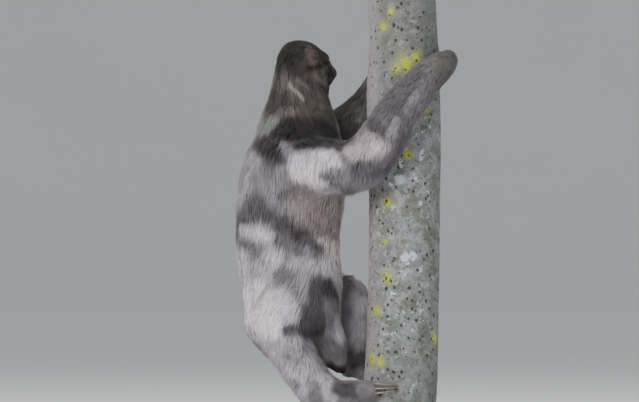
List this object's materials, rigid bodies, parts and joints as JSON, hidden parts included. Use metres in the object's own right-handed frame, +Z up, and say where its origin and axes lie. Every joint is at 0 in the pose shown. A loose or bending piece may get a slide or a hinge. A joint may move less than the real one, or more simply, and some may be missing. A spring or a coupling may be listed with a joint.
{
  "type": "three-toed sloth model on a tree trunk perch",
  "caption": "Life-size three-toed sloth with shaggy mottled coat, hugging an upright lichened trunk held on a flat display stand; a still museum-style display animal",
  "frame": {"origin": "middle of the stand's underside, on the floor", "axes": "+Z up along the trunk; the animal faces +X towards the trunk, its right side is at -Y and its left side at +Y"},
  "size_m": [0.44, 0.34, 0.89],
  "materials": {
    "fur": "long shaggy coat, pale grey with brown-grey patches, browner head",
    "claw": "smooth horn, semi-gloss, lighter along the back",
    "eye": "dark brown, wet gloss",
    "nose": "dark bare skin, slightly moist",
    "bark": "smooth grey bark with pale lichen, dark pores and yellow-green lichen spots",
    "stand_wood": "dark stained, satin lacquer",
    "rod_steel": "brushed"
  },
  "bodies": {
    "root": {"head": "fur", "neck": "fur", "torso": "fur", "tail": "fur", "right_upper_arm": "fur", "right_forearm": "fur", "right_hand": "fur", "right_thigh": "fur", "right_shank": "fur", "right_foot": "fur", "left_upper_arm": "fur", "left_forearm": "fur", "left_hand": "fur", "left_thigh": "fur", "left_shank": "fur", "left_foot": "fur", "right_hand_claw_1": "claw", "right_hand_claw_2": "claw", "right_hand_claw_3": "claw", "right_foot_claw_1": "claw", "right_foot_claw_2": "claw", "right_foot_claw_3": "claw", "left_hand_claw_1": "claw", "left_hand_claw_2": "claw", "left_hand_claw_3": "claw", "left_foot_claw_1": "claw", "left_foot_claw_2": "claw", "left_foot_claw_3": "claw", "left_eye": "eye", "right_eye": "eye", "nose": "nose", "perch": "bark", "stand_base": "stand_wood", "stand_rod_1": "rod_steel", "stand_rod_2": "rod_steel"}
  },
  "joints": []
}
